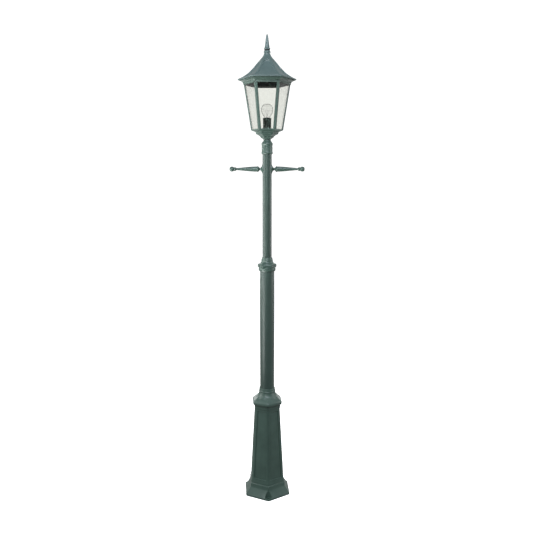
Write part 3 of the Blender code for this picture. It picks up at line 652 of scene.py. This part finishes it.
def makeNut(name, body, across, bore, low, high):
    rings = [(across * 0.9, low), (across, low + 0.7), (across, high - 0.7), (across * 0.9, high),
             (bore + 0.7, high), (bore, high - 0.7), (bore, low + 0.7), (bore + 0.7, low)]
    bm = hexagonStack(rings[:4], 0, 6, closed=False)
    hole = hexagonStack(rings[4:], 0, 24, closed=False)
    addTo(bm, hole)
    rims = [e for e in bm.edges if e.is_boundary]
    for level in (low, high):
        pair = [e for e in rims if abs(e.verts[0].co.z / mm - level) < 0.01]
        bmesh.ops.bridge_loops(bm, edges=pair)
    keepPiece(name + "_shown", bm, body, zincSteel, (name,), edge=0.15, sharp=25)


def makeScrew(name, x, tip, shoulder, top, shank, head):
    # cross-slot pan head over a threaded shank
    profile = [(0, tip), (shank * 0.6, tip), (shank, tip + 1), (shank, shoulder), (head, shoulder),
               (head, shoulder + (top - shoulder) * 0.45), (head * 0.8, top - 0.25), (head * 0.4, top), (0, top)]
    spot = Matrix.Translation((x * mm, 0, 0))
    piece = keepPiece(name + "_shown", moved(turnedBody(profile, 32), spot), "lantern", zincSteel, (name,))
    for turn in (0.3, 0.3 + math.pi / 2):
        slot = blockBody((-head * 0.62, -head * 0.12, top - 1.1), (head * 0.62, head * 0.12, top + 1))
        carve(piece, moved(slot, spot @ Matrix.Rotation(turn, 4, "Z")))


def makeFixings():
    makeNut("nipple_nut_lower", "lantern", 8.5, 5.25, 1858, 1866.3)
    makeNut("nipple_nut_upper", "lantern", 8.5, 5.25, 1893.9, 1901)
    makeNut("tie_nut", "lantern", 7.5, 4.25, 2172.5, 2179.7)
    for k, x in enumerate((-106, 106)):
        makeScrew(f"bridge_screw_{k + 1}", x, 2168, 2183.3, 2185.6, 2.0, 4.2)
    for k, x in enumerate((-62, 62)):
        makeScrew(f"strap_screw_{k + 1}", x, 1931.8, 1937, 1939, 1.6, 3.2)
    bridge = blockBody((-118, -10, 2180), (118, 10, 2183))
    ends = [e for e in bridge.edges if abs(e.verts[0].co.z - e.verts[1].co.z) > 2 * mm]
    bmesh.ops.bevel(bridge, geom=ends, offset=4 * mm, offset_type="OFFSET", affect="EDGES", segments=6, profile=0.5,
                    material=-1)
    piece = keepPiece("bridgeShown", bridge, "lantern", zincSteel, ("roof_bridge",), edge=0.4)
    carve(piece, rodBody(4.4, 2170, 2190, 32))
    for x in (-106, 106):
        carve(piece, moved(rodBody(2.4, 2170, 2190, 20), Matrix.Translation((x * mm, 0, 0))))
    strap = blockBody((-66, -8, 1934.7), (66, 8, 1936.7))
    ends = [e for e in strap.edges if abs(e.verts[0].co.z - e.verts[1].co.z) > 1 * mm]
    bmesh.ops.bevel(strap, geom=ends, offset=3.5 * mm, offset_type="OFFSET", affect="EDGES", segments=6, profile=0.5,
                    material=-1)
    piece = keepPiece("strapShown", strap, "lantern", zincSteel, ("holder_strap",), edge=0.3)
    carve(piece, rodBody(5.4, 1920, 1950, 32))
    for x in (-62, 62):
        carve(piece, moved(rodBody(2.0, 1920, 1950, 20), Matrix.Translation((x * mm, 0, 0))))
    nipple = turnedBody([(4.5, 1852), (4.5, 1948), (3.2, 1948), (3.2, 1852)], 32)
    addTo(nipple, threadRidge(4.45, 0.5, 1.0, 1853, 93))
    keepPiece("nippleShown", nipple, "lantern", zincSteel, ("stem_nipple",))
    block = blockBody((14, -7, 1921), (38, 7, 1934.4))
    bmesh.ops.bevel(block, geom=list(block.edges), offset=1.2 * mm, offset_type="OFFSET", affect="EDGES", segments=3,
                    profile=0.5, material=-1)
    piece = keepPiece("terminalBlockShown", block, "lantern", terminalNylon, ("terminal_block",))
    for x in (18.5, 26, 33.5):
        carve(piece, moved(rodBody(1.9, 1915, 1926, 20), Matrix.Translation((x * mm, 0, 0))))
        carve(piece, moved(pointed(rodBody(1.6, -12, 12, 20), 90.01, 1929.5), Matrix.Translation((x * mm, 0, 0))))


makeFixings()
print("fixings made")

# ---- lampholder and bulb

holder = [(0, 1949), (5.4, 1949), (5.4, 1937), (22.2, 1937), (22.5, 1938), (22.5, 1941), (21.6, 1944.6), (20.6, 1948),
          (20.4, 1960), (20.4, 1984.6), (19.9, 1985.2), (19.9, 1986.2), (20.6, 1987), (21.3, 1989), (21.3, 1993.6),
          (20.6, 1995.4), (19.2, 1996), (15.6, 1996), (15.6, 1956.5), (0, 1956.5)]
bulb = {
    "outside": [(10.9, 1984), (11.5, 1984.6), (11.8, 1987), (12.0, 1991), (12.5, 1995), (13.8, 1999), (16.0, 2003),
                (18.9, 2007), (22.0, 2011.4), (24.9, 2016.4), (27.2, 2021.8), (28.8, 2028), (29.5, 2035),
                (29.2, 2041.4),
                (27.9, 2047.4), (25.6, 2052.8), (22.0, 2057.6), (17.2, 2061.4), (11.4, 2063.8), (5.4, 2064.9),
                (0, 2065.1)],
    "inside": [(0, 2064.3), (5.2, 2064.1), (11.0, 2063.0), (16.6, 2060.7), (21.3, 2057.0), (24.8, 2052.3),
               (27.1, 2047.1), (28.4, 2041.2), (28.7, 2035), (28.0, 2028.2), (26.5, 2022.1), (24.2, 2016.9),
               (21.4, 2011.9), (18.3, 2007.6), (15.4, 2003.6), (13.1, 1999.4), (11.8, 1995.2), (11.2, 1991),
               (11.0, 1987), (10.6, 1985), (10.2, 1984)],
    "cap": [(5.1, 1963), (7.2, 1963.4), (9.2, 1964.6), (11.4, 1966.6), (12.2, 1968), (12.2, 1990), (12.6, 1990.5),
            (12.1, 1990.5), (11.9, 1989.5), (11.9, 1969.5), (8.2, 1966.5), (5.1, 1965.2)],
    "mount": [(0, 1986), (9.6, 1986), (9.2, 1987.6), (6.8, 1991), (5.0, 1995), (4.0, 2000), (3.2, 2007), (2.8, 2011),
              (3.3, 2013.4), (2.6, 2015.6), (0, 2016.5)],
}


def makeWire(name, path, thickness, body, finish, replaced=()):
    # a wire bent along a smooth path, turned into a closed mesh
    curve = bpy.data.curves.new(name, "CURVE")
    curve.dimensions = "3D"
    curve.bevel_depth = thickness * mm
    curve.bevel_resolution = 3
    curve.use_fill_caps = True
    spline = curve.splines.new("POLY")
    spline.points.add(len(path) - 1)
    for point, spot in zip(spline.points, path):
        point.co = (*[c * mm for c in spot], 1)
    wirePath = bpy.data.objects.new(name + "Path", curve)
    bpy.context.scene.collection.objects.link(wirePath)
    graph = bpy.context.evaluated_depsgraph_get()
    shape = bpy.data.meshes.new_from_object(wirePath.evaluated_get(graph))
    bm = bmesh.new()
    bm.from_mesh(shape)
    bpy.data.objects.remove(wirePath)
    bpy.data.curves.remove(curve)
    bpy.data.meshes.remove(shape)
    return keepPiece(name, bm, body, finish, replaced)


def makeLamp():
    keepPiece("holderShown", turnedBody(holder), "lantern", holderBakelite, ("lampholder_body",),
              edge=0.3, sharp=35)
    shell = turnedBody([(14.4, 1962), (15.2, 1962), (15.2, 1991), (14.4, 1991)], 64)
    addTo(shell, threadRidge(14.45, -0.9, 3.63, 1965.5, 6.2, 48))
    keepPiece("holderShellShown", shell, "lantern", brassSheet, ("lampholder_shell",))
    contact = [(0, 1956.8), (6, 1956.8), (6, 1957.6), (4, 1959), (1.6, 1960), (0, 1960)]
    keepPiece("holderContactShown", turnedBody(contact, 32), "lantern", brassSheet, ("lampholder_contact",))
    tip = [(0, 1960.3), (2.2, 1960.4), (3.4, 1960.9), (4.4, 1961.8), (4.8, 1963), (4.8, 1966), (0, 1966)]
    keepPiece("bulbContactShown", turnedBody(tip, 32), "bulb_tip", capNickel, ("bulb_contact",))
    cap = turnedBody(bulb["cap"], 64)
    addTo(cap, threadRidge(12.15, 0.9, 3.63, 1970.5, 4.2, 48))
    keepPiece("bulbCapShown", cap, "bulb", capNickel, ("bulb_cap",))
    glass = turnedBody(bulb["outside"] + bulb["inside"][1:], 96)
    keepPiece("bulbGlassShown", glass, "bulb", bulbGlass, ("bulb_envelope",), sharp=60)
    keepPiece("bulbMountShown", turnedBody(bulb["mount"], 48), "bulb", bulbGlass, ("bulb_mount",),
              sharp=60)
    coil = []
    for k in range(121):
        share = k / 120
        sweep = math.pi * (1 - share)
        coil.append((11 * math.cos(sweep) + 0.35 * math.cos(k * 2.1), 4.5 * math.sin(sweep),
                     2033 + 2.2 * math.sin(3 * math.pi * share) ** 2 + 0.35 * math.sin(k * 2.1)))
    legs = [(-2.2, 0, 2016), (-3.4, 0, 2019), (-8.6, 0, 2029)]
    ends = [(8.6, 0, 2029), (3.4, 0, 2019), (2.2, 0, 2016)]
    makeWire("filamentShown", legs + coil + ends, 0.22, "bulb", filamentWire, ("bulb_filament",))
    for k, bearing in enumerate((50, 90, 130)):
        a = math.radians(bearing)
        makeWire(f"filamentHook{k + 1}", [(0, 0, 2015.6), (2.4 * math.cos(a), 1.8 * math.sin(a), 2022),
                                          (10.4 * math.cos(a), 4.3 * math.sin(a), 2033.4)], 0.12, "bulb",
                 filamentWire)


makeLamp()
print("lamp made")

# ---- floor, light and camera

studio = {
    "floorColour": "#f8f8f8", "floorGlow": 0.85, "frontWall": 0.12, "backWall": 0.46, "skySeen": 1.15,
    # place, what it faces, width, height, power, colour, spread in degrees
    "lights": [("leftSide", (-2.9, -0.1, 1.9), (0, 0, 1.5), 1.5, 2.6, 74.0, "#fdfefe", 180),
               ("leftRear", (-1.3, 2.7, 1.9), (0, 0, 1.6), 1.4, 2.6, 46.0, "#fdfefe", 180),
               ("rightSide", (2.9, 0.0, 1.9), (0, 0, 1.5), 1.2, 2.6, 44.0, "#fdfefe", 180),
               ("rightRear", (1.4, 2.7, 1.9), (0, 0, 1.6), 1.4, 2.6, 34.0, "#fdfefe", 180),
               ("frontFill", (-0.9, -3.7, 2.7), (0, 0, 0.8), 1.2, 1.4, 54.0, "#f7fffb", 180),
               ("topFill", (0.1, -3.0, 4.5), (0, 0, 2.2), 1.8, 1.0, 160.0, "#e9f0ff", 180),
               ("lowLeft", (-1.3, -0.8, 0.5), (0, 0, 2.1), 0.8, 0.8, 11.0, "#fdfefe", 70)],
    "cameraPlace": (0.002, -3.101, 1.696), "cameraDown": 8.46, "lens": 40.4,
}


def makeStudio():
    finish, tree, shader = newFinish("paleFloorPaper", studio["floorColour"], 0.9,
                                     Emission_Strength=studio["floorGlow"])
    shader.inputs["Emission Color"].default_value = toLinear(studio["floorColour"])
    at = addNode(tree, "ShaderNodeTexCoord").outputs["Object"]
    fibre = addNode(tree, "ShaderNodeTexNoise", {"Scale": 60.0, "Detail": 2.0}, {"Vector": at})
    bump = addNode(tree, "ShaderNodeBump", {"Strength": 0.05, "Distance": 0.2 * mm}, {"Height": fibre.outputs["Fac"]})
    tree.links.new(bump.outputs["Normal"], shader.inputs["Normal"])
    bm = bmesh.new()
    bmesh.ops.create_grid(bm, x_segments=1, y_segments=1, size=40)
    floor = keepPiece("floor", bm, None, finish, closed=False)
    floor.visible_diffuse = floor.visible_glossy = floor.visible_transmission = False
    scene = bpy.context.scene
    scene.view_settings.view_transform = "Standard"
    world = bpy.data.worlds.new("paleRoom")
    world.use_nodes = True
    scene.world = world
    room = world.node_tree
    seen = room.nodes["Background"]
    seen.inputs["Color"].default_value = (1, 1, 1, 1)
    seen.inputs["Strength"].default_value = studio["skySeen"]
    # the walls behind are paler than the dark side that the front faces
    facing = addNode(room, "ShaderNodeTexCoord").outputs["Generated"]
    parts = addNode(room, "ShaderNodeSeparateXYZ", {}, {"Vector": facing})
    walls = addNode(room, "ShaderNodeMapRange", {"From Min": -0.9, "From Max": 0.6, "To Min": studio["frontWall"],
                                                 "To Max": studio["backWall"]}, {"Value": parts.outputs["Y"]})
    lit = addNode(room, "ShaderNodeBackground", {"Color": (1, 1, 1, 1)}, {"Strength": walls.outputs["Result"]})
    rays = addNode(room, "ShaderNodeLightPath")
    # the bright room is only seen straight on or through the panes, and does not light the inside of the lantern
    bounced = addNode(room, "ShaderNodeMath", {"operation": "ADD"}, {0: rays.outputs["Diffuse Depth"],
                                                                     1: rays.outputs["Glossy Depth"]})
    unbounced = addNode(room, "ShaderNodeMath", {"operation": "LESS_THAN", 1: 0.5}, {0: bounced.outputs["Value"]})
    through = addNode(room, "ShaderNodeMath", {"operation": "MULTIPLY"}, {0: rays.outputs["Is Transmission Ray"],
                                                                          1: unbounced.outputs["Value"]})
    direct = addNode(room, "ShaderNodeMath", {"operation": "MAXIMUM"}, {0: rays.outputs["Is Camera Ray"],
                                                                        1: through.outputs["Value"]})
    mixed = addNode(room, "ShaderNodeMixShader", {}, {0: direct.outputs["Value"], 1: lit.outputs["Background"],
                                                      2: seen.outputs["Background"]})
    room.links.new(mixed.outputs["Shader"], room.nodes["World Output"].inputs["Surface"])
    for name, place, aim, width, height, power, colour, spread in studio["lights"]:
        lamp = bpy.data.lights.new(name, "AREA")
        lamp.shape, lamp.size, lamp.size_y, lamp.energy = "RECTANGLE", width, height, power
        lamp.color = toLinear(colour)[:3]
        lamp.spread = math.radians(spread)
        box = bpy.data.objects.new(name, lamp)
        box.location = place
        box.rotation_euler = (Vector(aim) - Vector(place)).to_track_quat("-Z", "Y").to_euler()
        box.visible_camera = box.visible_transmission = False
        scene.collection.objects.link(box)
    camera = bpy.data.objects.new("camera", bpy.data.cameras.new("camera"))
    camera.data.lens = studio["lens"]
    camera.data.sensor_width = 36
    camera.location = studio["cameraPlace"]
    camera.rotation_euler = (math.radians(90 - studio["cameraDown"]), 0, 0)
    scene.collection.objects.link(camera)
    scene.camera = camera


makeStudio()
print("studio made")
